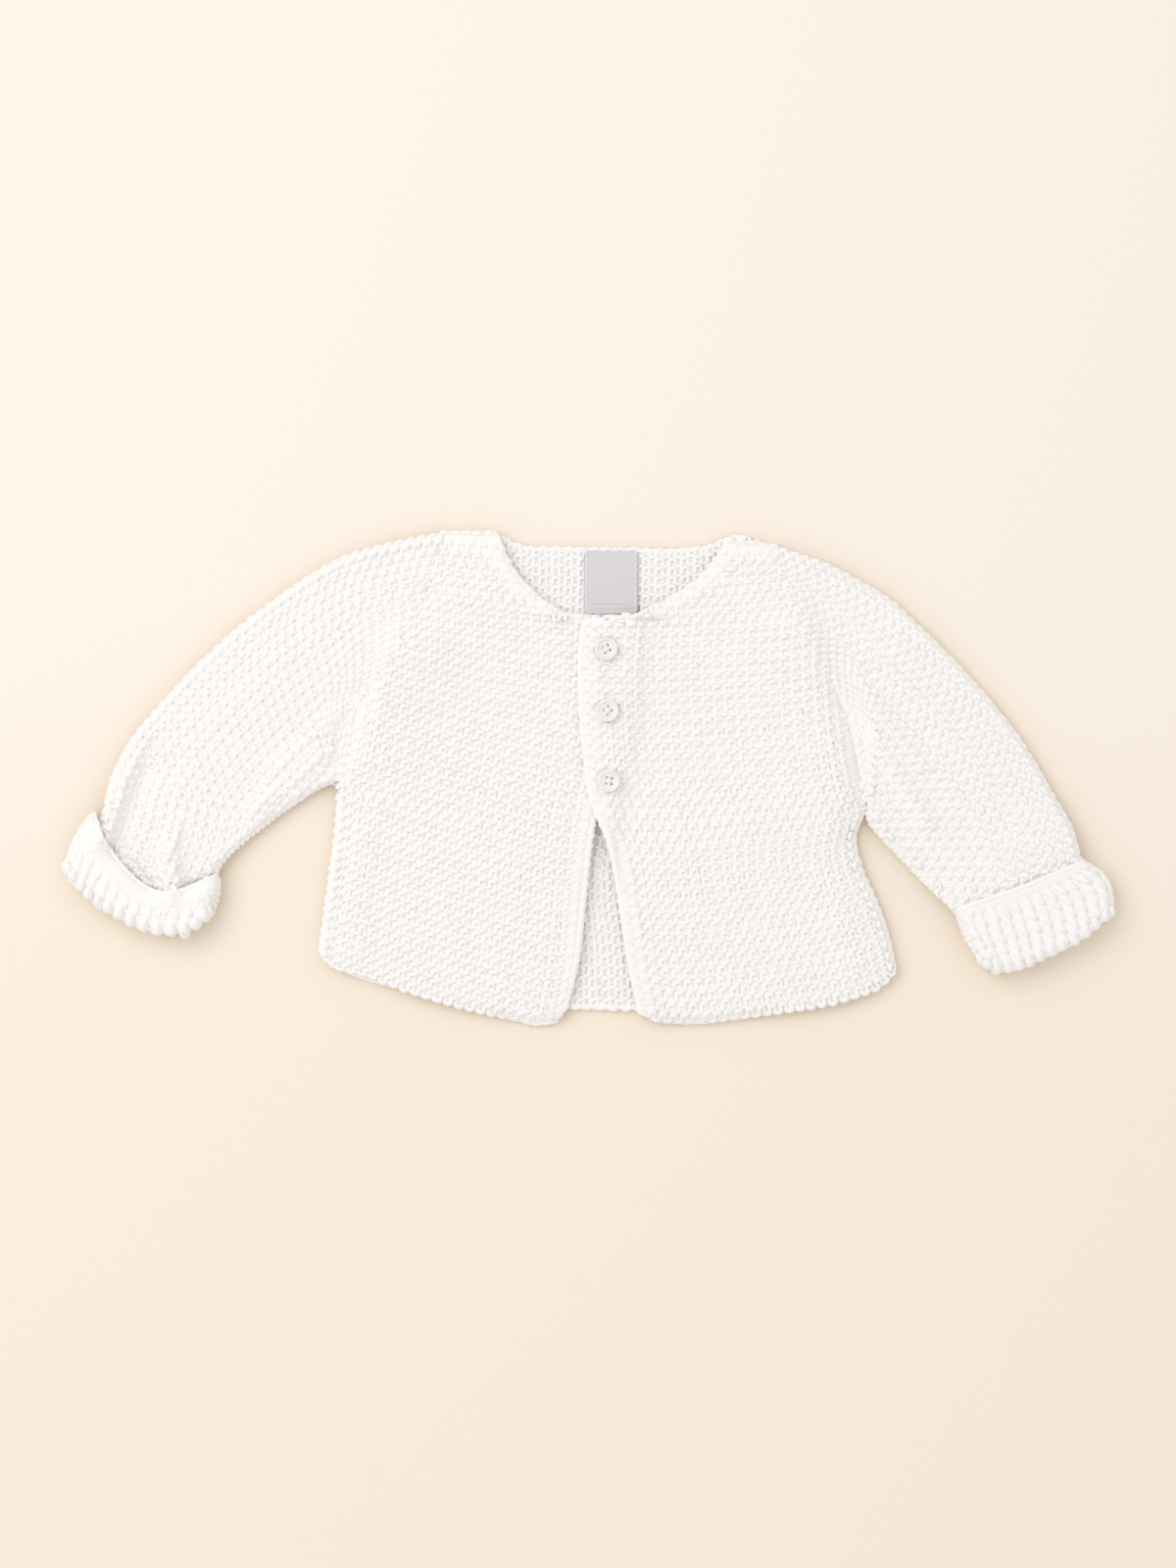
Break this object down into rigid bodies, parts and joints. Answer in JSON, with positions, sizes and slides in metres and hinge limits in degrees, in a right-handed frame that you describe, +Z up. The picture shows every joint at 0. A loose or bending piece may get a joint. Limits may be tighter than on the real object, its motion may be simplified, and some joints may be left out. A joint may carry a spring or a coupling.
{
  "type": "baby cardigan",
  "caption": "Baby's chunky garter-stitch cardigan laid flat, with kimono sleeves, turned-back cuffs, a round neck, and fronts buttoned near the neck that fall open below.",
  "frame": {"origin": "middle of the garment's outline, on the surface that it lies on", "axes": "+X towards the wearer's left sleeve, +Y from the hem to the neck, +Z up from the surface, out of the front"},
  "size_m": [0.5354, 0.2537, 0.0223],
  "materials": {
    "knit": "matte white cotton garter stitch",
    "label": "smooth pale grey woven label",
    "button": "white resin, softly polished"
  },
  "bodies": {
    "root": {"back": "knit", "front_right": "knit", "front_left": "knit", "sleeve_right": "knit", "sleeve_left": "knit", "label": "label", "button_1": "button", "button_2": "button", "button_3": "button"}
  },
  "joints": []
}
